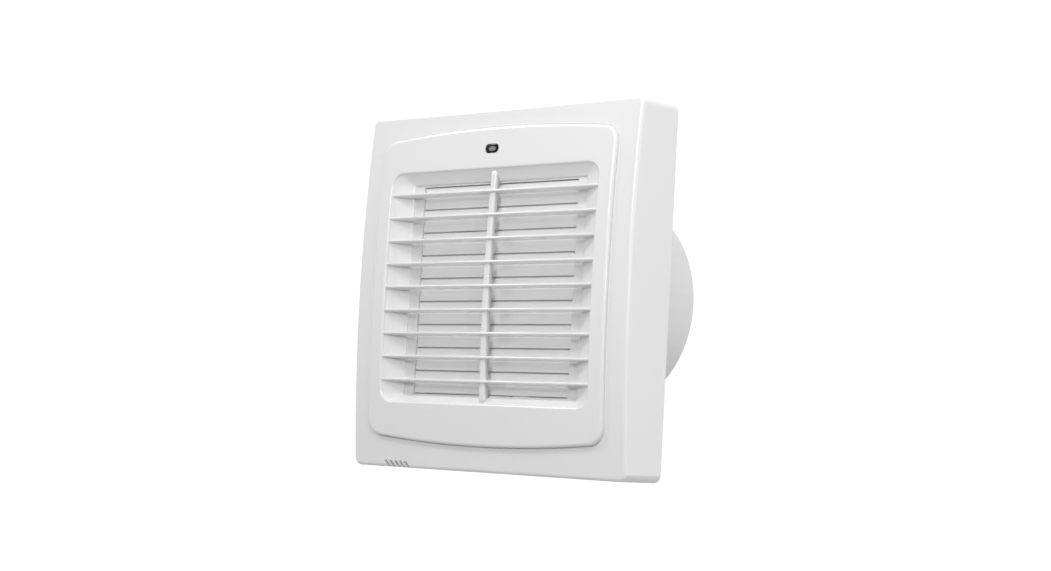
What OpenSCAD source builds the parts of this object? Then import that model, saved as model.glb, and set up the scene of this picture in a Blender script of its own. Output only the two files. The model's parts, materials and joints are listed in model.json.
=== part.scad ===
// Bathroom extractor fan for a 100 mm duct, with a thermally opened louvre shutter.
// X points right seen from the room, +Y goes into the wall, Z is up.
// The origin is on the duct axis in the plane of the wall.

/* [Casing] */
// Side of the square casing
case_size = 160; // [156:1:170]
// Distance of the front edge of the casing from the wall
case_depth = 23.6; // [23:0.2:26]
// How far the middle of the front bulges past its top and bottom edges
front_bulge = 3.8; // [2:0.2:6]
// Corner radius of the casing
case_corner = 3.5; // [3:0.5:8]
// Wall thickness of the casing
wall = 2.2; // [1.6:0.2:3]
// How far the raised panel stands proud of the front
panel_rise = 2; // [1:0.2:3]
// Half width of the raised panel
panel_half = 69; // [66:1:72]

/* [Grille] */
// Half width of the grille opening
open_half = 61; // [58:1:64]
// Height of the grille opening
open_h = 103; // [98:1:108]
// Number of fixed slats across the opening
slat_count = 9; // [5:1:11]
// Thickness of a slat at its front edge
slat_t = 1.1; // [0.9:0.1:1.6]
// Depth of a slat from front to back
slat_depth = 4.6; // [4:0.1:4.8]
// Width of the upright rib behind the slats
rib_w = 2.2; // [1.6:0.2:4]

/* [Shutter] */
// Number of moving shutter blades
blade_count = 9; // [5:1:11]
// Half width of the shutter opening
shutter_half_w = 45.9; // [42:0.1:47]
// Half height of the shutter opening
shutter_half_h = 46.6; // [44:0.1:48]
// Thickness of a shutter blade
blade_t = 1; // [0.8:0.1:1.4]
// Radius of a blade's pivot pins
pivot_r = 1; // [0.8:0.1:1.2]
// Length of the crank on each blade
crank_len = 5; // [4:0.5:6]
// Angle of the crank below the horizontal with the shutter closed
crank_angle = 40; // [30:5:45]

/* [Duct] */
// Outer radius of the duct spigot
spigot_r = 49.3; // [48.5:0.1:49.6]
// Wall thickness of the spigot
spigot_wall = 2; // [1.6:0.2:2.4]
// Length of the spigot behind the wall plane
spigot_len = 57; // [50:1:70]

/* [Fan] */
// Number of impeller blades
vane_count = 7; // [5:1:9]
// Tip radius of the impeller
vane_tip_r = 46.4; // [44:0.1:46.6]
// Radius of the impeller hub
hub_r = 22; // [21.6:0.1:24]
// Radius of the motor case
motor_r = 19.3; // [19:0.1:19.6]
// Radius of the motor shaft
shaft_r = 2; // [1.5:0.1:2.5]

/* [Hidden] */
BLADES = [for (i = [1:blade_count]) str("shutter_blade_", i)];

$fn = 64;
white = "whitesmoke";
gap = 0.2;                 // assembly gap between mouldings
run = 0.05;                // radial clearance of a running pin
loose = 0.3;               // clearance round a loose pin
half = case_size / 2;

// The front is part of a cylinder about an axis parallel to X.
front_r = (half * half + front_bulge * front_bulge) / (2 * front_bulge);
front_axis_y = front_r - case_depth - front_bulge;
function front_y(z, rise) = front_axis_y - sqrt(pow(front_r + rise, 2) - z * z);

grille_z = 1.1;            // height of the middle of the grille
panel_top = 71.2;
panel_bottom = -68.8;
panel_arch_r = 640;        // radius of the panel's top and bottom edges
panel_corner = 8;
open_corner = 6;
open_top = grille_z + open_h / 2;
open_bottom = grille_z - open_h / 2;
throat_half = 51.3;        // half width where the funnel ends
throat_y = -23.3;          // front face of the throat
frame_y = -22.5;           // front face of the shutter frame
funnel_y = -27.6;          // where the funnel starts to narrow
slat_drop = 1.3;           // fall of a slat from front to back
slat_pitch = open_h / (slat_count + 1) + 0.13;

lens_x = -1.2;
lens_z = 61.5;
lens_w = 8.2;
lens_h = 4.2;
lens_y = front_y(lens_z, panel_rise) + 0.3;

plate_half = half - wall - gap;
plate_t = 3;
duct_r = spigot_r - spigot_wall;
bell_y = -8.5;             // room end of the duct tube
bell_r = spigot_r + 0.6;   // radius of the tube where it passes through the plate
screw_at = 68;             // wall screw holes, each way from the axis
wall_hole_r = 2.25;
entry = [18, -63];         // cable entry in the back plate
entry_r = 5.5;
cover_screw_y = -10;

blade_pitch = 2 * shutter_half_h / blade_count;
blade_h = blade_pitch - 0.8;
blade_half = shutter_half_w - loose;
axis_y = -19;              // pivot line of the blades
face_y = -21.6;            // front face of a closed blade
boss_r = 1.1;
tab_y = face_y + blade_t + loose;
tab_t = 0.6;
frame_wall = 2.4;
frame_half_w = 62;
frame_top = 53.5;
frame_bottom = -51.5;
frame_back = -16.5;
crank_x = shutter_half_w + frame_wall + loose;
crank_t = 1.4;
link_x = crank_x + crank_t + loose;
link_t = 1.8;
link_w = 4.4;
crank_dy = crank_len * cos(crank_angle);
crank_dz = -crank_len * sin(crank_angle);
head = 2.5;                // height of a blade above its pivot
overlap = 0.8;             // how far a blade's tab reaches behind the next blade
function blade_z(i) = shutter_half_h - (i - 0.5) * blade_pitch + blade_h / 2 - head;
link_y = axis_y + crank_dy;
link_foot = blade_z(blade_count) + crank_dz - 4;
link_top = blade_z(1) + crank_dz + 2.6;
seat_z = 56.5;              // underside of the return spring's seat

act_z = -72;               // bottom of the actuator body
act_len = 20;
act_r = 5;
act_x = link_x + link_t / 2;
plunger_r = 1.6;

motor_front = 2;
motor_back = 38;
bracket_y = 24;
bracket_len = 8;
bracket_t = 2.4;
rotor_r = 9.4;
stack_y = 13;
stack_len = 15;
board_y = -13;
board_t = 1.6;
board_z = 64.5;
term_x = -22;
term_z = -66;

// ---------- shared shapes ----------

// Extrudes an X-Z outline along Y.
module along_y(y0, y1) {
    translate([0, y1, 0]) rotate([90, 0, 0]) linear_extrude(y1 - y0) children();
}

// Extrudes a Y-Z outline along X.
module along_x(x0, x1) {
    translate([x0, 0, 0]) rotate([90, 0, 90]) linear_extrude(x1 - x0) children();
}

// Round bar along X, centred on (y, z).
module bar_x(x0, x1, y, z, r) {
    translate([x0, y, z]) rotate([0, 90, 0]) cylinder(h = x1 - x0, r = r);
}

// Round bar along Y, centred on (x, z).
module bar_y(y0, y1, x, z, r) {
    translate([x, y1, z]) rotate([90, 0, 0]) cylinder(h = y1 - y0, r = r);
}

// Ring about the duct axis.
module ring_y(y0, y1, outer, inner) {
    difference() {
        bar_y(y0, y1, 0, 0, outer);
        bar_y(y0 - 1, y1 + 1, 0, 0, inner);
    }
}

// Rounded rectangle whose corners are true arcs.
module rounded(w, h, r) {
    square([w - 2 * r, h], center = true);
    square([w, h - 2 * r], center = true);
    for (sx = [-1, 1], sz = [-1, 1])
        translate([sx * (w / 2 - r), sz * (h / 2 - r)]) circle(r);
}

// Everything behind the cylindrical front, set forward by rise.
module behind_front(rise) {
    along_x(-half - 1, half + 1) translate([front_axis_y, 0]) circle(front_r + rise, $fn = 720);
}

// Box given by its lowest and highest corners.
module box(a, b) {
    translate(a) cube(b - a);
}

// Cross-head screw along +Y with its head at y0.
module screw_y(x, y0, z, len, r, head_r, head_t) {
    difference() {
        union() {
            bar_y(y0, y0 + head_t, x, z, head_r);
            bar_y(y0 + head_t - 0.1, y0 + len, x, z, r);
        }
        for (a = [0, 90])
            translate([x, y0, z]) rotate([0, a, 0]) cube([head_r * 1.3, 1, 0.7], center = true);
    }
}

// ---------- casing ----------

// Outline of the raised panel: straight sides, arched top and bottom, round corners.
function arch_z(edge, side, x) =
    edge - side * (panel_arch_r - sqrt(panel_arch_r * panel_arch_r - x * x));
function corner_points(sx, sz, edge) = [for (k = [0:6])
    let (a = k * 15, cx = panel_half - panel_corner, cz = arch_z(edge, sz, panel_half) - sz * panel_corner)
    [sx * (cx + panel_corner * cos(a)), cz + sz * panel_corner * sin(a)
        + sz * (1 - cos(a)) * abs(arch_z(edge, sz, cx) - arch_z(edge, sz, panel_half))]];
function reversed(v) = [for (k = [len(v) - 1:-1:0]) v[k]];
function arch_points(edge, sz, sx) = [for (k = [1:7])
    let (x = sx * (panel_half - panel_corner) * (1 - k / 4)) [x, arch_z(edge, sz, x)]];

module panel_outline() {
    polygon(concat(
        corner_points(1, 1, panel_top), arch_points(panel_top, 1, 1),
        reversed(corner_points(-1, 1, panel_top)), corner_points(-1, -1, panel_bottom),
        arch_points(panel_bottom, -1, -1), reversed(corner_points(1, -1, panel_bottom))));
}

// Half width of a funnel wall at y, from its mouth to the throat.
function funnel_at(mouth, throat, y) = throat + (mouth - throat) * (y - throat_y) / (funnel_y - throat_y);

// Funnel from the grille opening back to the shutter, grown outwards by g.
module funnel(g) {
    y0 = front_y(0, panel_rise) - 1;
    y1 = frame_y - 0.1;
    side0 = funnel_at(open_half, throat_half, y0) + g;
    side1 = throat_half + g;
    high = shutter_half_h + 0.9;
    intersection() {
        linear_extrude(open_h * 2, center = true)
            polygon([[-side0, y0], [side0, y0], [side1, throat_y], [side1, y1], [-side1, y1], [-side1, throat_y]]);
        along_x(-half, half)
            polygon([[y0, funnel_at(open_top, high, y0) + g], [throat_y, high + g], [y1, high + g],
                [y1, -high - g], [throat_y, -high - g], [y0, funnel_at(open_bottom, -high, y0) - g]]);
    }
}

module opening_prism(y0, y1, g) {
    along_y(y0, y1) translate([0, grille_z]) rounded(2 * (open_half + g), open_h + 2 * g, open_corner + g);
}

module slats() {
    for (i = [0:slat_count - 1]) {
        z = grille_z + (i - (slat_count - 1) / 2) * slat_pitch;
        y = front_y(z, panel_rise) + 0.3 + slat_t / 2;
        along_x(-open_half - 1, open_half + 1)
            polygon([[y, z - slat_t / 2], [y, z + slat_t / 2], [y + slat_depth, z + slat_t / 2 - slat_drop],
                [y + slat_depth, z - slat_t / 2 - slat_drop]]);
        bar_x(-open_half - 1, open_half + 1, y, z, slat_t / 2);
    }
}

module grille_rib() {
    intersection() {
        box([-rib_w / 2, -40, open_bottom - 1], [rib_w / 2, throat_y - 0.5, open_top + 1]);
        behind_front(panel_rise - 1.6);
    }
}

module sensor_slots() {
    for (k = [0:4])
        translate([-57.4 + k * 3.07, -case_depth, -half + 0.3]) rotate([0, -42, 0])
            cube([1.2, 6, 6.6], center = true);
}

module front_cover() {
    color(white)
    difference() {
        union() {
            difference() {
                intersection() {
                    along_y(-60, 0) rounded(case_size, case_size, case_corner);
                    union() {
                        behind_front(0);
                        intersection() {
                            behind_front(panel_rise);
                            along_y(-60, -10) panel_outline();
                        }
                    }
                }
                intersection() {
                    along_y(-60, 1) rounded(case_size - 2 * wall, case_size - 2 * wall, case_corner - wall);
                    behind_front(-wall);
                }
                opening_prism(-60, -5, 0);
            }
            difference() {
                intersection() {
                    funnel(1.6);
                    opening_prism(-60, -5, 1.8);
                    behind_front(panel_rise - 0.01);
                }
                intersection() {
                    funnel(0);
                    opening_prism(-60, -5, 0);
                }
            }
            slats();
            grille_rib();
            // boss for the cover screw
            box([-4.5, cover_screw_y - 4.5, -half + 1], [4.5, cover_screw_y + 3.6, -half + 3.4]);
        }
        // indicator window
        along_y(-60, -5) translate([lens_x, lens_z]) rounded(lens_w, lens_h, lens_h / 2 - 0.01);
        sensor_slots();
        // countersunk screw hole in the bottom wall
        translate([0, cover_screw_y, -half - 1]) cylinder(h = 2.8, r = 3.1);
        translate([0, cover_screw_y, -half - 1]) cylinder(h = 6, r = 1.7);
    }
}

module indicator_lens() {
    color("gainsboro")
    difference() {
        union() {
            along_y(lens_y, -21.4) translate([lens_x, lens_z])
                rounded(lens_w - 0.4, lens_h - 0.4, lens_h / 2 - 0.22);
            along_y(-22.6, -21.4) translate([lens_x, lens_z]) rounded(lens_w + 3, lens_h + 3, lens_h / 2);
        }
        bar_y(-22.4, -20, lens_x, lens_z, 1.1);
    }
}

module cover_screw() {
    color("silver")
    difference() {
        union() {
            translate([0, cover_screw_y, -half + 0.1]) cylinder(h = 1.7, r = 2.9);
            translate([0, cover_screw_y, -half + 1.7]) cylinder(h = 10, r = 1.4);
        }
        for (a = [0, 90])
            translate([0, cover_screw_y, -half]) rotate([0, 0, a]) cube([3.8, 0.8, 2], center = true);
    }
}

// ---------- back housing ----------

frame_posts = [[-58.6, 50], [58.6, 50], [-58.6, -48], [58.6, -48]];
board_posts = [[-26, 58], [26, 58]];

module back_plate() {
    color(white)
    difference() {
        union() {
            along_y(-plate_t, 0) rounded(2 * plate_half, 2 * plate_half, case_corner - wall);
            for (p = frame_posts) bar_y(frame_back + 2, -plate_t + 0.5, p[0], p[1], 3);
            for (p = board_posts) bar_y(board_y + board_t, -plate_t + 0.5, p[0], p[1], 3);
            // lug for the cover screw
            box([-5, cover_screw_y - 4, -half + 3.6], [5, -plate_t + 0.5, -half + 12]);
            // rim that stiffens the plate
            difference() {
                along_y(-plate_t - 3, -plate_t + 0.5) rounded(2 * plate_half, 2 * plate_half, case_corner - wall);
                along_y(-plate_t - 4, 1) rounded(2 * plate_half - 3, 2 * plate_half - 3, 1.5);
            }
            // beads for the wall screws
            for (sx = [-1, 1], sz = [-1, 1]) bar_y(-plate_t - 1.5, -1, sx * screw_at, sz * screw_at, 5);
        }
        bar_y(-plate_t - 1, 1, 0, 0, bell_r + run);
        for (sx = [-1, 1], sz = [-1, 1]) bar_y(-10, 1, sx * screw_at, sz * screw_at, wall_hole_r);
        bar_y(-10, 1, entry[0], entry[1], entry_r);
        for (p = frame_posts) bar_y(frame_back, -plate_t - 1, p[0], p[1], 1.2);
        for (p = board_posts) bar_y(board_y, -plate_t - 1, p[0], p[1], 1.2);
        translate([0, cover_screw_y, -half]) cylinder(h = 14, r = 1.4);
    }
}

// Tube pushed through the plate up to its flange, with the ring that holds the motor.
module duct_tube() {
    color(white) {
        difference() {
            union() {
                bar_y(-0.5, spigot_len, 0, 0, spigot_r);
                bar_y(bell_y, 0, 0, 0, bell_r);
                bar_y(-plate_t - 1.6, -plate_t, 0, 0, bell_r + 3);
            }
            bar_y(bell_y - 1, spigot_len + 1, 0, 0, duct_r);
        }
        difference() {
            union() {
                bar_y(bracket_y, bracket_y + bracket_len, 0, 0, motor_r + bracket_t);
                for (a = [45:90:315]) rotate([0, a, 0])
                    box([motor_r + 1, bracket_y + 1, -1.4], [duct_r + 0.4, bracket_y + bracket_len - 1, 1.4]);
            }
            bar_y(bracket_y - 1, bracket_y + bracket_len + 1, 0, 0, motor_r);
        }
    }
}

// ---------- shutter ----------

module shutter_frame() {
    flange_t = 1.2;
    outer = shutter_half_w + frame_wall;
    color(white)
    difference() {
        union() {
            // ring that the blades turn in
            along_y(frame_y, frame_back) square([2 * outer, 2 * (shutter_half_h + 2)], center = true);
            // flange behind the throat of the cover
            along_y(frame_y, frame_y + flange_t) translate([0, (frame_top + frame_bottom) / 2])
                square([2 * frame_half_w, frame_top - frame_bottom], center = true);
            for (p = frame_posts) bar_y(frame_y + 1, frame_back + 2, p[0], p[1], 2.8);
            // arm and seat of the return spring
            box([link_x - 3, frame_y, frame_top - 2], [link_x + 5, frame_y + flange_t, seat_z + 1.6]);
            box([link_x - 3, frame_y, seat_z], [link_x + 5, link_y + 3, seat_z + 1.6]);
            // cradle of the actuator
            box([act_x - 4, frame_y, act_z + 6], [act_x + 4, link_y - 3, frame_bottom + 1]);
        }
        difference() {
            along_y(-30, 0) square([2 * shutter_half_w, 2 * shutter_half_h], center = true);
            // lip that closes the gap above the top blade
            box([-half, tab_y, shutter_half_h - 1.2], [half, tab_y + tab_t, half]);
        }
        // room behind the sill for the bottom blade to swing
        box([-shutter_half_w, frame_y + flange_t, -shutter_half_h - 0.6], [shutter_half_w, 0, 0]);
        for (i = [1:blade_count]) bar_x(-outer - 1, outer + 1, axis_y, blade_z(i), pivot_r + run);
        for (p = frame_posts) bar_y(frame_y - 1, frame_back + 3, p[0], p[1], 1.6);
        translate([act_x, link_y, act_z]) cylinder(h = act_len + 4, r = act_r + 0.1);
    }
}

module shutter_frame_screws() {
    color("silver")
    for (p = frame_posts) screw_y(p[0], frame_y - 1, p[1], 12.2, 1.2, 2.6, 1);
}

// Blade i, closed. Its crank reaches backwards and down on the right.
module shutter_blade(i) {
    z = blade_z(i);
    top = z + head;
    bottom = top - blade_h;
    back = face_y + blade_t;
    color("gainsboro") {
        box([-blade_half, face_y, bottom], [blade_half, back, top]);
        // web that carries the pivot behind the face
        box([-blade_half, face_y + 0.5, z - 1], [blade_half, axis_y, z + 0.6]);
        bar_x(-blade_half, blade_half, axis_y, z, boss_r);
        // shelf along the free edge, and a tab that closes the gap behind the next blade
        box([-blade_half, face_y + 0.2, bottom], [blade_half, tab_y + tab_t, bottom + 0.8]);
        if (i < blade_count)
            box([-blade_half, tab_y, bottom - blade_pitch + blade_h - overlap],
                [blade_half, tab_y + tab_t, bottom + 0.4]);
        bar_x(-shutter_half_w - frame_wall + 0.2, -blade_half + 0.5, axis_y, z, pivot_r);
        bar_x(blade_half - 0.5, crank_x + 0.4, axis_y, z, pivot_r);
        // crank arm and its pin
        bar_x(crank_x, crank_x + crank_t, axis_y, z, 1.9);
        translate([crank_x, axis_y, z]) rotate([-crank_angle, 0, 0])
            translate([0, 0, -1.2]) cube([crank_t, crank_len, 2.4]);
        bar_x(crank_x, crank_x + crank_t, axis_y + crank_dy, z + crank_dz, 1.6);
        bar_x(crank_x + 0.5, link_x + link_t, axis_y + crank_dy, z + crank_dz, pivot_r);
    }
}

module link_bar() {
    color("gainsboro")
    difference() {
        union() {
            box([link_x, link_y - link_w / 2, link_foot], [link_x + link_t, link_y + link_w / 2, link_top]);
            // foot pushed by the plunger
            box([link_x, link_y - link_w / 2, link_foot - 1.6],
                [link_x + link_t + 2, link_y + link_w / 2, link_foot]);
        }
        for (i = [1:blade_count])
            bar_x(link_x - 1, link_x + link_t + 1, link_y, blade_z(i) + crank_dz,
                pivot_r + (i == 1 ? run : loose));
    }
}

plunger_top = link_foot - 1.6 - 0.4;

module actuator_body() {
    color("darkgoldenrod")
    difference() {
        union() {
            translate([act_x, link_y, act_z]) cylinder(h = act_len, r = act_r);
            translate([act_x, link_y, act_z + act_len - 1]) cylinder(h = 3, r = 3.4);
        }
        translate([act_x, link_y, act_z + 4]) cylinder(h = act_len, r = plunger_r + run);
    }
}

module actuator_plunger() {
    color("silver")
    translate([act_x, link_y, act_z + 6]) cylinder(h = plunger_top - act_z - 6, r = plunger_r);
}

module actuator_clip() {
    color("silver")
    difference() {
        box([act_x - act_r - 1, link_y - 3.2, act_z + 8], [act_x + act_r + 1, link_y + act_r + 1, act_z + 12]);
        translate([act_x, link_y, act_z]) cylinder(h = act_len, r = act_r + run);
    }
}

spring_r = 1.9;
spring_wire = 0.35;
spring_turns = 6;
spring_z0 = link_top + 0.1;
spring_z1 = seat_z - 0.1;
spring_steps = spring_turns * 14;
spring_sides = 6;

// Coil swept along a helix.
module return_spring() {
    rise = spring_z1 - spring_z0 - 2 * spring_wire;
    points = [for (k = [0:spring_steps], s = [0:spring_sides - 1])
        let (a = 360 * spring_turns * k / spring_steps, t = 360 * s / spring_sides,
            r = spring_r + spring_wire * cos(t))
        [link_x + link_t / 2 + r * cos(a), link_y + r * sin(a),
            spring_z0 + spring_wire + rise * k / spring_steps + spring_wire * sin(t)]];
    sides = [for (k = [0:spring_steps - 1], s = [0:spring_sides - 1])
        let (n = (s + 1) % spring_sides, a = k * spring_sides)
        [a + s, a + spring_sides + s, a + spring_sides + n, a + n]];
    last = spring_steps * spring_sides;
    color("silver")
    polyhedron(points, concat(sides, [[for (s = [0:spring_sides - 1]) s]],
        [[for (s = [spring_sides - 1:-1:0]) last + s]]), convexity = 10);
}

// ---------- motor and impeller ----------

motor_screws = [[0, 13.5], [0, -13.5]];

module motor_case() {
    color("lightslategray")
    difference() {
        bar_y(motor_front, motor_back, 0, 0, motor_r);
        bar_y(motor_front + 1.5, motor_back + 1, 0, 0, motor_r - 1.5);
        bar_y(motor_front - 1, motor_front + 3, 0, 0, 5);
    }
}

module motor_end_cap() {
    color("lightslategray")
    difference() {
        union() {
            bar_y(motor_back, motor_back + 2.5, 0, 0, motor_r);
            bar_y(motor_back + 2.4, motor_back + 5, 0, 0, 8);
        }
        bar_y(motor_back - 1, motor_back + 3.6, 0, 0, 5);
        for (p = motor_screws) bar_y(motor_back - 1, motor_back + 4, p[0], p[1], 1.3);
    }
}

module motor_end_cap_screws() {
    color("silver")
    for (p = motor_screws) mirror([0, 1, 0])
        screw_y(p[0], -motor_back - 4, p[1], 8, 1.2, 2.4, 1.5);
}

module stator_core() {
    color("dimgray")
    difference() {
        ring_y(stack_y, stack_y + stack_len, motor_r - 1.6, rotor_r + 0.4);
        for (a = [0:60:300]) rotate([0, a, 0])
            box([rotor_r + 2, stack_y - 1, -2.5], [motor_r - 4, stack_y + stack_len + 1, 2.5]);
    }
}

module stator_windings() {
    color("peru") {
        ring_y(stack_y - 3.5, stack_y - gap, motor_r - 3.5, rotor_r + 1.6);
        ring_y(stack_y + stack_len + gap, stack_y + stack_len + 3.5, motor_r - 3.5, rotor_r + 1.6);
    }
}

module front_bearing() {
    color("darkgoldenrod") ring_y(motor_front - 0.5, motor_front + 6, 5, shaft_r + run);
}

module rear_bearing() {
    color("darkgoldenrod") ring_y(motor_back - 3, motor_back + 3.5, 5, shaft_r + run);
}

module rotor_core() {
    color("gray") ring_y(stack_y, stack_y + stack_len, rotor_r, shaft_r);
}

module motor_shaft() {
    color("silver") bar_y(-9.6, motor_back + 2.5, 0, 0, shaft_r);
}

module impeller() {
    camber_r = 30;
    color("whitesmoke") {
        difference() {
            bar_y(-7.4, 15, 0, 0, hub_r);
            bar_y(-5.6, 16, 0, 0, hub_r - 1.4);
            bar_y(-12, 16, 0, 0, shaft_r);
        }
        difference() {
            bar_y(-6, 0.8, 0, 0, 5.5);
            bar_y(-12, 16, 0, 0, shaft_r);
        }
        for (k = [0:vane_count - 1]) rotate([0, k * 360 / vane_count, 0])
            intersection() {
                ring_y(-7.2, 14.4, vane_tip_r, hub_r - 0.7);
                // the vane's section is an arc in the plane across its span
                translate([hub_r - 4, 3.5, 0]) rotate([38, 0, 0])
                    along_x(0, 40) intersection() {
                        translate([-camber_r, 0]) difference() {
                            circle(camber_r + 1.6, $fn = 180);
                            circle(camber_r, $fn = 180);
                        }
                        square([12, 30], center = true);
                    }
            }
    }
}

module impeller_nut() {
    color("silver")
    difference() {
        bar_y(-9.2, -7.4, 0, 0, 4.2);
        bar_y(-12, -6, 0, 0, shaft_r);
        for (a = [0:60:300]) rotate([0, a, 0]) box([3.55, -12, -4], [6, -8, 4]);
    }
}

// ---------- electrics ----------

module control_board() {
    color("darkgreen")
    difference() {
        box([-36, board_y, board_z - 9.5], [36, board_y + board_t, board_z + 9.5]);
        for (p = board_posts) bar_y(board_y - 1, board_y + 3, p[0], p[1], 1.5);
    }
}

module board_screws() {
    color("silver")
    for (p = board_posts) screw_y(p[0], board_y - 1.3, p[1], 8, 1.2, 2.4, 1.3);
}

module indicator_led() {
    color("lightgreen") {
        bar_y(board_y - 6, board_y, lens_x, lens_z, 1.5);
        translate([lens_x, board_y - 6, lens_z]) sphere(r = 1.5);
        bar_y(board_y - 1.4, board_y, lens_x, lens_z, 1.9);
    }
}

module mains_capacitor() {
    color("steelblue") box([-32, board_y + board_t, 64], [-20, board_y + board_t + 7, 72.5]);
}

module relay() {
    color("royalblue") box([10, board_y + board_t, 63.5], [24, board_y + board_t + 7.5, 73]);
}

module trimmer_base(x) {
    color("steelblue")
    difference() {
        box([x - 3.4, board_y - 3.4, board_z + 1], [x + 3.4, board_y, board_z + 7.8]);
        bar_y(board_y - 4, board_y - 1, x, board_z + 4.4, 1.2 + run);
    }
}

module trimmer_knob(x) {
    color("white")
    difference() {
        union() {
            bar_y(board_y - 5, board_y - 3.7, x, board_z + 4.4, 2.6);
            bar_y(board_y - 4.9, board_y - 1.3, x, board_z + 4.4, 1.2);
        }
        box([x - 2, board_y - 6, board_z + 4.05], [x + 2, board_y - 4.4, board_z + 4.75]);
    }
}

module timer_trimmer_base() { trimmer_base(14); }
module timer_trimmer_knob() { trimmer_knob(14); }
module humidity_trimmer_base() { trimmer_base(26); }
module humidity_trimmer_knob() { trimmer_knob(26); }

module humidity_sensor() {
    color("white")
    difference() {
        box([-60, -16, -half + 4.4], [-48, -plate_t, -half + 12.4]);
        for (k = [0:3]) box([-58 + k * 2.6, -17, -half + 5.6], [-57 + k * 2.6, -15.4, -half + 11.2]);
    }
}

module terminal_block() {
    color("ivory")
    difference() {
        box([term_x - 15, -14, term_z - 6], [term_x + 15, -plate_t, term_z + 6]);
        for (k = [-1:1]) {
            bar_y(-15, -6, term_x + k * 9.4, term_z + 1.6, 2.3);
            translate([term_x + k * 9.4, -8.2, term_z - 7]) cylinder(h = 8, r = 1.8);
        }
    }
}

module terminal_screws() {
    color("goldenrod")
    for (k = [-1:1]) difference() {
        bar_y(-12.6, -6, term_x + k * 9.4, term_z + 1.6, 2.1);
        box([term_x + k * 9.4 - 3, -13, term_z + 1.25], [term_x + k * 9.4 + 3, -11.9, term_z + 1.95]);
    }
}

clamp_x = 34;
clamp_z = -66;
module cable_clamp() {
    color(white)
    difference() {
        box([clamp_x - 9, -9, clamp_z - 3.5], [clamp_x + 9, -plate_t, clamp_z + 3.5]);
        translate([clamp_x, -plate_t, clamp_z - 5]) cylinder(h = 10, r = 3.4);
        for (s = [-1, 1]) bar_y(-10, 0, clamp_x + s * 6.4, clamp_z, 1.5);
    }
}

module cable_clamp_screws() {
    color("silver")
    for (s = [-1, 1]) screw_y(clamp_x + s * 6.4, -10.3, clamp_z, 7.3, 1.4, 2.4, 1.3);
}

front_cover();
back_plate();
duct_tube();
indicator_lens();
cover_screw();
shutter_frame();
shutter_frame_screws();
for (i = [1:blade_count]) shutter_blade(i);
link_bar();
actuator_body();
actuator_plunger();
actuator_clip();
return_spring();
motor_case();
motor_end_cap();
motor_end_cap_screws();
stator_core();
stator_windings();
front_bearing();
rear_bearing();
rotor_core();
motor_shaft();
impeller();
impeller_nut();
control_board();
board_screws();
indicator_led();
mains_capacitor();
relay();
timer_trimmer_base();
timer_trimmer_knob();
humidity_trimmer_base();
humidity_trimmer_knob();
humidity_sensor();
terminal_block();
terminal_screws();
cable_clamp();
cable_clamp_screws();
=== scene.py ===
"""Bathroom extractor fan: looks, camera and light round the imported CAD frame."""
import json
import math

import bmesh
import bpy
from mathutils import Matrix, Vector


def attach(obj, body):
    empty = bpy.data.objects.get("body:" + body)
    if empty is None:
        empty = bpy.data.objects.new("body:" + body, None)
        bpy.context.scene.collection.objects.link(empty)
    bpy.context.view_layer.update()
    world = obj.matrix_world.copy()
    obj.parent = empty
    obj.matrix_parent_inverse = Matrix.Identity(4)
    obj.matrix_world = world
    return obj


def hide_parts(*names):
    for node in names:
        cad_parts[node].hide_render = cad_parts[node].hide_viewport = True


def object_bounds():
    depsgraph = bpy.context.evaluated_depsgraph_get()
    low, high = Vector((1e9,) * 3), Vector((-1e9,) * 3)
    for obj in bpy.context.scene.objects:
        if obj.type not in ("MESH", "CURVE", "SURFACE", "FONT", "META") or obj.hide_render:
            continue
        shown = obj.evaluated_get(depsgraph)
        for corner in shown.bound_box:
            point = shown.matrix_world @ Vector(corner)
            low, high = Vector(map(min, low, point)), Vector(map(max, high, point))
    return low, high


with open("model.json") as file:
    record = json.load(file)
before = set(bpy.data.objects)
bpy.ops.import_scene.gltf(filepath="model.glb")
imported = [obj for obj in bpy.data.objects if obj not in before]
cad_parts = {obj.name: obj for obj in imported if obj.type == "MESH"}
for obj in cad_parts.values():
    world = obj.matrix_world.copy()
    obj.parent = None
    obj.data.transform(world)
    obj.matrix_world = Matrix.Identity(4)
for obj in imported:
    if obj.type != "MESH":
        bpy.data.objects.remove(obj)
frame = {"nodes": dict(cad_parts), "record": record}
cad_low, cad_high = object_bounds()
nodes = frame["nodes"]
MM = 0.001
# indicator window, in millimetres
LENS_X, LENS_Z, LENS_W, LENS_H = -1.2, 61.5, 8.2, 4.2

# ---------------------------------------------------------------- camera
# The photograph looks from the right and from slightly below, with a little roll.
YAW, PITCH, ROLL = math.radians(41.96), math.radians(-4.355), math.radians(3.077)
DISTANCE = 913.07 * MM
TARGET = Vector((-1.496, 0.0, 3.725)) * MM
LENS = 70.19


def make_camera():
    data = bpy.data.cameras.new("camera")
    data.sensor_width = 36.0
    data.lens = LENS
    data.clip_start, data.clip_end = 0.01, 50.0
    cam = bpy.data.objects.new("camera", data)
    bpy.context.scene.collection.objects.link(cam)
    back = Vector((math.sin(YAW) * math.cos(PITCH), -math.cos(YAW) * math.cos(PITCH), math.sin(PITCH)))
    right = (-back).cross(Vector((0, 0, 1))).normalized()
    up = right.cross(-back)
    rolled_right = right * math.cos(ROLL) + up * math.sin(ROLL)
    rolled_up = up * math.cos(ROLL) - right * math.sin(ROLL)
    turn = Matrix((rolled_right, rolled_up, back)).transposed()
    cam.matrix_world = Matrix.Translation(TARGET + back * DISTANCE) @ turn.to_4x4()
    bpy.context.scene.camera = cam


make_camera()


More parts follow.
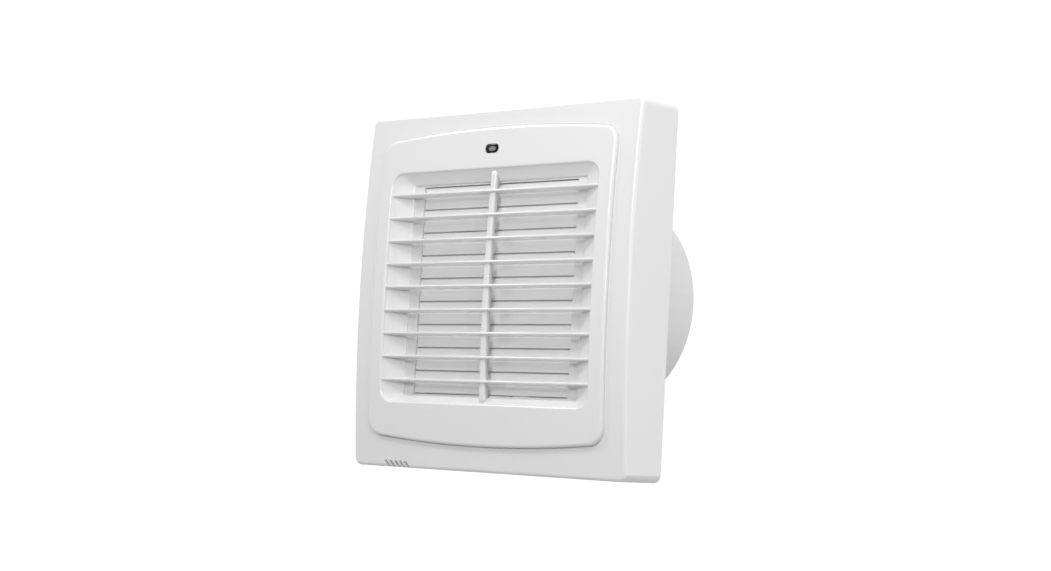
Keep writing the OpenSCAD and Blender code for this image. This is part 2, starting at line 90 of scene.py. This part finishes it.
# ---------------------------------------------------------------- materials
def shader(name):
    """A new node material, and its tree, shader and texture coordinates."""
    mat = bpy.data.materials.new(name)
    mat.use_nodes = True
    tree = mat.node_tree
    bsdf = tree.nodes["Principled BSDF"]
    coords = tree.nodes.new("ShaderNodeTexCoord").outputs["Object"]
    return mat, tree, bsdf, coords


def noise(tree, coords, scale, detail=3.0, stretch=None):
    """Noise over the object, stretched along an axis if asked."""
    if stretch:
        mapping = tree.nodes.new("ShaderNodeMapping")
        mapping.inputs["Scale"].default_value = stretch
        tree.links.new(coords, mapping.inputs["Vector"])
        coords = mapping.outputs["Vector"]
    tex = tree.nodes.new("ShaderNodeTexNoise")
    tex.inputs["Scale"].default_value = scale
    tex.inputs["Detail"].default_value = detail
    tree.links.new(coords, tex.inputs["Vector"])
    return tex.outputs["Fac"]


def vary(tree, fac, low, high, socket):
    """Spreads a noise between two numbers and puts it on a socket."""
    ramp = tree.nodes.new("ShaderNodeMapRange")
    ramp.inputs["From Min"].default_value = 0.3
    ramp.inputs["From Max"].default_value = 0.7
    ramp.inputs["To Min"].default_value = low
    ramp.inputs["To Max"].default_value = high
    tree.links.new(fac, ramp.inputs["Value"])
    tree.links.new(ramp.outputs["Result"], socket)


def tint(tree, fac, dark, light, bsdf):
    """Colour that drifts between two close tones."""
    ramp = tree.nodes.new("ShaderNodeValToRGB")
    ramp.color_ramp.elements[0].position = 0.2
    ramp.color_ramp.elements[1].position = 0.8
    ramp.color_ramp.elements[0].color = (*dark, 1)
    ramp.color_ramp.elements[1].color = (*light, 1)
    tree.links.new(fac, ramp.inputs["Fac"])
    tree.links.new(ramp.outputs["Color"], bsdf.inputs["Base Color"])


def bump(tree, fac, strength, depth, bsdf):
    node = tree.nodes.new("ShaderNodeBump")
    node.inputs["Strength"].default_value = strength
    node.inputs["Distance"].default_value = depth
    tree.links.new(fac, node.inputs["Height"])
    tree.links.new(node.outputs["Normal"], bsdf.inputs["Normal"])


def plastic(name, colour, rough, spread=0.015, grain=1400, relief=0.05, coat=0.0):
    """Moulded plastic: a slow drift of tone and gloss, and a fine moulded surface."""
    mat, tree, bsdf, coords = shader(name)
    slow = noise(tree, coords, 12.0, 0.0)
    fine = noise(tree, coords, grain, 2.0)
    tint(tree, slow, tuple(c * 0.994 for c in colour), colour, bsdf)
    vary(tree, slow, rough - spread / 2, rough + spread / 2, bsdf.inputs["Roughness"])
    bump(tree, fine, relief, 0.00005, bsdf)
    bsdf.inputs["Coat Weight"].default_value = coat
    bsdf.inputs["Coat Roughness"].default_value = 0.12
    return mat


def metal(name, colour, rough, stretch=None, scale=600):
    """Bare metal with drawn or turned marks along one axis."""
    mat, tree, bsdf, coords = shader(name)
    marks = noise(tree, coords, scale, 4.0, stretch)
    tint(tree, marks, tuple(c * 0.82 for c in colour), colour, bsdf)
    vary(tree, marks, rough - 0.08, rough + 0.1, bsdf.inputs["Roughness"])
    bump(tree, marks, 0.15, 0.00004, bsdf)
    bsdf.inputs["Metallic"].default_value = 1.0
    return mat


def windings(name):
    """Fine enamelled wire wound round the motor axis."""
    mat, tree, bsdf, coords = shader(name)
    wave = tree.nodes.new("ShaderNodeTexWave")
    wave.wave_type = "RINGS"
    wave.rings_direction = "Y"
    wave.inputs["Scale"].default_value = 900.0
    wave.inputs["Distortion"].default_value = 0.6
    tree.links.new(coords, wave.inputs["Vector"])
    tint(tree, wave.outputs["Fac"], (0.30, 0.10, 0.03), (0.75, 0.33, 0.12), bsdf)
    bump(tree, wave.outputs["Fac"], 0.6, 0.0002, bsdf)
    bsdf.inputs["Metallic"].default_value = 0.7
    bsdf.inputs["Roughness"].default_value = 0.3
    return mat


def lens(name):
    """Smoked window, dark in itself, with painted shade that goes black towards its edge and a painted
    grey reflection in the middle.
    """
    mat, tree, bsdf, coords = shader(name)
    place = tree.nodes.new("ShaderNodeMapping")
    place.vector_type = "TEXTURE"
    place.inputs["Location"].default_value = Vector((LENS_X, 0, LENS_Z)) * MM
    place.inputs["Scale"].default_value = Vector((LENS_W / 2, 100, LENS_H / 2)) * MM
    tree.links.new(coords, place.inputs["Vector"])
    distance = tree.nodes.new("ShaderNodeVectorMath")
    distance.operation = "LENGTH"
    tree.links.new(place.outputs["Vector"], distance.inputs[0])
    level = tree.nodes.new("ShaderNodeMapRange")
    for key, value in (("From Min", 0.45), ("From Max", 0.7), ("To Min", 0.0), ("To Max", 1.0)):
        level.inputs[key].default_value = value
    tree.links.new(distance.outputs["Value"], level.inputs["Value"])
    # painted light: the black towards the edge is painted shade, and the grey middle is a painted
    # reflection
    tint(tree, level.outputs["Result"], (0.24, 0.25, 0.25), (0.012, 0.012, 0.012), bsdf)
    bsdf.inputs["Roughness"].default_value = 0.12
    return mat


WHITE = (0.83, 0.83, 0.83)
looks = {
    "case_white": plastic("case_white", WHITE, 0.24, coat=0.5),
    "housing_white": plastic("housing_white", (0.79, 0.79, 0.79), 0.36, relief=0.1),
    "shutter_white": plastic("shutter_white", (0.85, 0.85, 0.855), 0.33),
    "lens_grey": lens("lens_grey"),
    "screw_steel": metal("screw_steel", (0.62, 0.63, 0.65), 0.3),
    "nylon": plastic("nylon", (0.72, 0.72, 0.68), 0.45, relief=0.12),
    "brass_can": metal("brass_can", (0.72, 0.50, 0.20), 0.28, stretch=(1, 1, 8)),
    "spring_steel": metal("spring_steel", (0.55, 0.56, 0.58), 0.25),
    "motor_metal": metal("motor_metal", (0.42, 0.43, 0.45), 0.38),
    "laminations": metal("laminations", (0.22, 0.22, 0.23), 0.45, stretch=(1, 40, 1), scale=60),
    "copper": windings("copper"),
    "bronze": metal("bronze", (0.50, 0.32, 0.14), 0.5, scale=2500),
    "shaft_steel": metal("shaft_steel", (0.66, 0.67, 0.69), 0.18, stretch=(1, 8, 1)),
    "impeller_plastic": plastic("impeller_plastic", (0.76, 0.77, 0.77), 0.3),
    "board_green": plastic("board_green", (0.02, 0.14, 0.05), 0.35, coat=0.4),
    "led_clear": plastic("led_clear", (0.42, 0.52, 0.42), 0.1, coat=0.5),
    "component_blue": plastic("component_blue", (0.05, 0.14, 0.34), 0.4),
    "sensor_white": plastic("sensor_white", (0.76, 0.76, 0.74), 0.5, relief=0.15),
    "terminal_plastic": plastic("terminal_plastic", (0.70, 0.69, 0.62), 0.45, relief=0.12),
}


# ---------------------------------------------------------------- mesh helpers
def new_object(name, bm, look):
    """Makes a smooth-shaded object out of a bmesh whose units are millimetres."""
    bmesh.ops.recalc_face_normals(bm, faces=bm.faces)
    bmesh.ops.scale(bm, vec=(MM, MM, MM), verts=bm.verts)
    mesh = bpy.data.meshes.new(name)
    bm.to_mesh(mesh)
    bm.free()
    mesh.polygons.foreach_set("use_smooth", [True] * len(mesh.polygons))
    obj = bpy.data.objects.new(name, mesh)
    bpy.context.scene.collection.objects.link(obj)
    obj.data.materials.append(looks[look])
    return obj


def weighted(obj):
    """Keeps broad faces flat-looking beside small fillets."""
    mod = obj.modifiers.new("normals", "WEIGHTED_NORMAL")
    mod.keep_sharp = True
    mod.weight = 80


def apply_modifiers(obj):
    """Bakes an object's modifiers into its mesh."""
    graph = bpy.context.evaluated_depsgraph_get()
    mesh = bpy.data.meshes.new_from_object(obj.evaluated_get(graph))
    obj.modifiers.clear()
    obj.data = mesh


def soften(obj, width=0.25):
    """Small moulded radius on the edges of a CAD node."""
    weld = obj.modifiers.new("weld", "WELD")
    weld.merge_threshold = 0.002 * MM
    flat = obj.modifiers.new("flat", "DECIMATE")
    flat.decimate_type = "DISSOLVE"
    flat.angle_limit = math.radians(0.2)
    bevel = obj.modifiers.new("bevel", "BEVEL")
    bevel.width = width * MM
    bevel.segments = 2
    bevel.limit_method = "ANGLE"
    bevel.angle_limit = math.radians(38)
    bevel.miter_outer = "MITER_ARC"
    bevel.harden_normals = True


# ---------------------------------------------------------------- front cover
SIDE_STEPS, CORNER_STEPS, FILLET_STEPS = 28, 8, 6
CASE_HALF = (cad_high.x - cad_low.x) / 2 / MM
CASE_DEPTH, BULGE, RISE = 23.6, 3.8, 2.0
FRONT_R = (CASE_HALF ** 2 + BULGE ** 2) / (2 * BULGE)
WALL = 2.2
CASE = dict(half=CASE_HALF, top=CASE_HALF, bottom=-CASE_HALF, radius=3.5, arch=0.0)
PANEL = dict(half=69.0, top=71.2, bottom=-68.8, radius=8.0, arch=3.7)
MOUTH = dict(half=61.0, top=52.6, bottom=-50.4, radius=6.0, arch=0.0)
THROAT = dict(half=51.3, top=47.5, bottom=-47.5, radius=0.8, arch=0.0)
FUNNEL_Y, THROAT_Y, THROAT_BACK = -27.6, -23.3, -22.48


def front_y(z, rise):
    """Y of the front's cylinder at height z, set forward by rise."""
    return FRONT_R - CASE_DEPTH - BULGE - math.sqrt((FRONT_R + rise) ** 2 - z * z)


def outline(shape, grow=0.0):
    """Closed outline of a shape grown outwards, always with the same number of points."""
    half = shape["half"] + grow
    top, bottom = shape["top"] + grow, shape["bottom"] - grow
    radius = max(shape["radius"] + grow, 0.3)
    flat = half - radius
    drop = shape["arch"] * (flat / half) ** 2
    points = []
    for side in range(4):
        # right, top, left, bottom, each followed by its corner
        horizontal = side % 2
        sign = 1 if side < 2 else -1
        for k in range(SIDE_STEPS):
            t = k / SIDE_STEPS
            if horizontal:
                x = sign * (flat - 2 * flat * t)
                edge = top if sign > 0 else bottom
                points.append((x, edge - sign * shape["arch"] * (x / half) ** 2))
            else:
                low, high = bottom + radius + drop, top - radius - drop
                z = low + (high - low) * t if sign > 0 else high - (high - low) * t
                points.append((sign * half, z))
        corner_x = flat * (1 if side in (0, 3) else -1)
        corner_z = (top - radius - drop) if side in (0, 1) else (bottom + radius + drop)
        for k in range(CORNER_STEPS):
            a = math.radians(90 * side + 90 * k / CORNER_STEPS)
            points.append((corner_x + radius * math.cos(a), corner_z + radius * math.sin(a)))
    return points


def on_front(shape, grow, rise):
    """Outline lying on the cylindrical front at the given rise."""
    return [(x, front_y(z, rise), z) for x, z in outline(shape, grow)]


def at_depth(shape, grow, y):
    return [(x, y, z) for x, z in outline(shape, grow)]


def between(a, b, t):
    """Ring part of the way from ring a to ring b."""
    return [tuple(p + (q - p) * t for p, q in zip(u, v)) for u, v in zip(a, b)]


def quarter(steps=FILLET_STEPS):
    return [math.pi / 2 * k / steps for k in range(steps + 1)]


def cover_rings():
    """Rings of the cover's closed shell, from its back rim over the front and inside again."""
    edge_r, panel_r, mouth_r = 1.5, 1.2, 0.9
    rings = [at_depth(CASE, -0.4, 0.0), at_depth(CASE, -0.12, -0.12), at_depth(CASE, 0.0, -0.4)]
    start = [(x, front_y(z, 0) + edge_r, z) for x, z in outline(CASE)]
    rings.append(between(rings[-1], start, 0.96))
    for a in quarter():
        grow = -edge_r + edge_r * math.cos(a)
        sink = edge_r - edge_r * math.sin(a)
        rings.append([(x, front_y(z, 0) + sink, z) for x, z in outline(CASE, grow)])
    rings.append(on_front(CASE, -edge_r - 0.5, 0))
    rings.append(on_front(PANEL, 2.2, 0))
    # step up to the raised panel: a small hollow at its foot, a rounded edge at its top
    rings.append(on_front(PANEL, 0.42, 0))
    rings.append(on_front(PANEL, 0.34, -0.08))
    rings.append(on_front(PANEL, 0.28, -0.3))
    rings.append(on_front(PANEL, 0.02, -0.3))
    rings.append(on_front(PANEL, 0.0, -0.1))
    for a in quarter():
        grow = -panel_r + panel_r * math.cos(a)
        rings.append(on_front(PANEL, grow, RISE - panel_r + panel_r * math.sin(a)))
    rings.append(on_front(PANEL, -panel_r - 0.5, RISE))
    inner, outer = on_front(PANEL, -panel_r - 1.2, RISE), on_front(MOUTH, mouth_r + 0.7, RISE)
    for t in (0.0, 0.33, 0.66, 1.0):
        rings.append([(x, front_y(z, RISE), z) for x, _, z in between(inner, outer, t)])
    # rounded edge of the grille opening
    for a in quarter():
        grow = mouth_r - mouth_r * math.sin(a)
        rings.append(on_front(MOUTH, grow, RISE - mouth_r + mouth_r * math.cos(a)))
    lip = [(x, max(FUNNEL_Y, front_y(z, RISE - mouth_r) + 0.1), z) for x, z in outline(MOUTH)]
    throat = at_depth(THROAT, 0, THROAT_Y)
    rings += [lip] + [between(lip, throat, t) for t in (0.04, 0.35, 0.65, 0.92)]
    rings.append(at_depth(THROAT, 0.14, THROAT_Y + 0.02))
    rings.append(at_depth(THROAT, 0.03, THROAT_Y + 0.14))
    rings.append(at_depth(THROAT, 0, THROAT_Y + 0.34))
    rings.append(at_depth(THROAT, 0, THROAT_BACK))
    # inside of the shell
    rings.append(at_depth(THROAT, 1.4, THROAT_BACK))
    rings.append([(x, front_y(z, 0) + 2.4, z) for x, z in outline(MOUTH, 1.8)])
    rings.append(on_front(MOUTH, 2.4, -WALL))
    rings.append(on_front(CASE, -WALL - 2.0, -WALL))
    rings.append([(x, front_y(z, 0) + WALL + 1.0, z) for x, z in outline(CASE, -WALL)])
    rings.append(at_depth(CASE, -WALL, 0.0))
    return rings


def loft(bm, rings, closed=True):
    """Joins rings of equal length into a skin; closed joins the last ring to the first."""
    made = [[bm.verts.new(p) for p in ring] for ring in rings]
    count = len(made[0])
    for i in range(len(made) if closed else len(made) - 1):
        a, b = made[i], made[(i + 1) % len(made)]
        for k in range(count):
            n = (k + 1) % count
            bm.faces.new((a[k], a[n], b[n], b[k]))
    return made


def prism(bm, points, direction):
    """Solid between a flat polygon and its copy moved by direction."""
    low = [bm.verts.new(p) for p in points]
    high = [bm.verts.new(Vector(p) + Vector(direction)) for p in points]
    count = len(points)
    bm.faces.new(low)
    bm.faces.new(high[::-1])
    for k in range(count):
        n = (k + 1) % count
        bm.faces.new((low[k], high[k], high[n], low[n]))


def stadium(width, height, steps=10):
    """Points of a slot with round ends, centred on the origin."""
    r = height / 2
    points = []
    for side, start in ((1, -90), (-1, 90)):
        for k in range(steps + 1):
            a = math.radians(start + 180 * k / steps)
            points.append((side * (width / 2 - r) + r * math.cos(a), r * math.sin(a)))
    return points


def cutter(name, build):
    """Hidden object used once to cut a hole."""
    bm = bmesh.new()
    build(bm)
    return new_object(name, bm, "case_white")


def mark_sharp(obj):
    """Keeps the edges of the cut holes crisp."""
    obj.data.set_sharp_from_angle(angle=math.radians(35))


def cut(obj, tool):
    mod = obj.modifiers.new("cut", "BOOLEAN")
    mod.operation = "DIFFERENCE"
    mod.solver = "EXACT"
    mod.object = tool
    apply_modifiers(obj)
    bpy.data.objects.remove(tool)


def lens_hole(bm):
    prism(bm, [(LENS_X + x, -40, LENS_Z + z) for x, z in stadium(LENS_W, LENS_H)], (0, 25, 0))


SLOT_FIRST_X, SLOT_PITCH, SLOT_Z, SLOT_LEAN = -57.4, 3.07, -79.7, math.radians(42)
SLOT_LENGTH, SLOT_WIDTH, SLOT_FRONT, SLOT_BITE = 7.0, 1.8, -27.0, 6.4


def slot_holes(bm):
    """Five slanted slots through the lower front edge, over the humidity sensor."""
    along, across = math.sin(SLOT_LEAN), math.cos(SLOT_LEAN)
    for k in range(5):
        cx = SLOT_FIRST_X + SLOT_PITCH * k
        corners = []
        for x, z in stadium(SLOT_LENGTH, SLOT_WIDTH, 6):
            corners.append((cx - x * along + z * across, SLOT_FRONT, SLOT_Z + x * across + z * along))
        prism(bm, corners, (0, SLOT_BITE, 0))


def make_cover():
    bm = bmesh.new()
    loft(bm, cover_rings())
    cover = new_object("front_cover_shell", bm, "case_white")
    cut(cover, cutter("lens_hole", lens_hole))
    cut(cover, cutter("slot_holes", slot_holes))
    mark_sharp(cover)
    weighted(cover)
    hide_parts("front_cover")
    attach(cover, "casing")


# ---------------------------------------------------------------- grille
SLAT_COUNT, SLAT_PITCH, GRILLE_Z = 9, 10.43, 1.1
SLAT_T, SLAT_DEPTH, SLAT_DROP = 1.1, 4.5, 0.8
RIB_W, RIB_DEPTH = 3.0, 2.6


def slat_profile(z):
    """Y-Z section of a slat: round nose, flat sides that fall towards the back."""
    r = SLAT_T / 2
    y = front_y(z, RISE) + 0.3 + r
    nose = [math.radians(90 + 180 * k / 10) for k in range(11)]
    points = [(y + r * math.cos(a), z + r * math.sin(a)) for a in nose]
    points += [(y + SLAT_DEPTH, z - SLAT_DROP - 0.4), (y + SLAT_DEPTH + 0.12, z - SLAT_DROP),
               (y + SLAT_DEPTH, z - SLAT_DROP + 0.4)]
    return points


def make_grille():
    bm = bmesh.new()
    reach = MOUTH["half"] + 0.6
    for i in range(SLAT_COUNT):
        z = GRILLE_Z + (i - (SLAT_COUNT - 1) / 2) * SLAT_PITCH
        prism(bm, [(-reach, y, h) for y, h in slat_profile(z)], (2 * reach, 0, 0))
    # upright rib with a rounded front, behind the noses of the slats
    steps = 28
    side = RIB_W / 2
    section = [(side, RIB_DEPTH), (side, 0.5), (side - 0.15, 0.15), (side - 0.5, 0),
               (-side + 0.5, 0), (-side + 0.15, 0.15), (-side, 0.5), (-side, RIB_DEPTH)]
    low, high = MOUTH["bottom"] - 0.6, MOUTH["top"] + 0.6
    rings = []
    for k in range(steps + 1):
        z = low + (high - low) * k / steps
        y = front_y(z, 0.5)
        rings.append([(x, y + d, z) for x, d in section])
    made = loft(bm, rings, closed=False)
    bm.faces.new(made[0])
    bm.faces.new(made[-1][::-1])
    grille = new_object("front_grille", bm, "case_white")
    weighted(grille)
    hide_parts("front_cover")
    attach(grille, "casing")


make_cover()
make_grille()


# ---------------------------------------------------------------- CAD nodes
slots = {part["node"]: part["material_slot"] for part in frame["record"]["subparts"]}
for name, obj in nodes.items():
    obj.data.materials.clear()
    obj.data.materials.append(looks[slots[name]])
    if name not in ("return_spring", "front_cover"):
        soften(obj, 0.4 if name in ("back_plate", "duct_tube") else 0.2)


# ---------------------------------------------------------------- stage and light
def make_floor():
    bpy.ops.mesh.primitive_plane_add(size=5, location=(0, 0, -0.6))
    floor = bpy.context.object
    floor.name = "floor"
    mat, tree, bsdf, coords = shader("floor_paper")
    tint(tree, noise(tree, coords, 2.0), (0.50, 0.50, 0.50), (0.52, 0.52, 0.52), bsdf)
    bsdf.inputs["Roughness"].default_value = 0.8
    floor.data.materials.append(mat)


def area_light(name, place, size, watts):
    """Soft box aimed at the object."""
    data = bpy.data.lights.new(name, "AREA")
    data.shape = "DISK"
    data.size = size
    data.energy = watts
    obj = bpy.data.objects.new(name, data)
    obj.location = place
    obj.rotation_euler = (-Vector(place)).to_track_quat("-Z", "Y").to_euler()
    bpy.context.scene.collection.objects.link(obj)


def make_world():
    """White room: brightest behind the object, dimmer in front of it and below it."""
    world = bpy.data.worlds.new("world")
    bpy.context.scene.world = world
    world.use_nodes = True
    tree = world.node_tree
    background = tree.nodes["Background"]
    coords = tree.nodes.new("ShaderNodeTexCoord").outputs["Generated"]

    def ramp(direction, low, high, dark, light):
        """Brightness that grows with how far a ray points along a direction."""
        lean = tree.nodes.new("ShaderNodeVectorMath")
        lean.operation = "DOT_PRODUCT"
        lean.inputs[1].default_value = Vector(direction).normalized()
        tree.links.new(coords, lean.inputs[0])
        level = tree.nodes.new("ShaderNodeMapRange")
        level.interpolation_type = "SMOOTHSTEP"
        for name, value in (("From Min", low), ("From Max", high), ("To Min", dark), ("To Max", light)):
            level.inputs[name].default_value = value
        tree.links.new(lean.outputs["Value"], level.inputs["Value"])
        return level.outputs["Result"]

    product = tree.nodes.new("ShaderNodeMath")
    product.operation = "MULTIPLY"
    tree.links.new(ramp((0.08, 1.0, 0.3), -0.9, 0.55, 0.12, 1.06), product.inputs[0])
    tree.links.new(ramp((0.0, 0.0, 1.0), -0.9, -0.1, 0.15, 1.0), product.inputs[1])
    tree.links.new(product.outputs["Value"], background.inputs["Strength"])
    background.inputs["Color"].default_value = (1, 1, 1, 1)


make_floor()
make_world()
area_light("key", (0.30, -0.40, 0.42), 0.2, 1.2)
area_light("edge", (0.80, -0.38, 0.07), 0.03, 0.45)
area_light("rim", (-0.62, -0.45, 0.60), 0.08, 1.8)
area_light("fill", (0.20, -0.84, 0.30), 0.3, 2.7)
bpy.context.scene.view_settings.view_transform = "Standard"
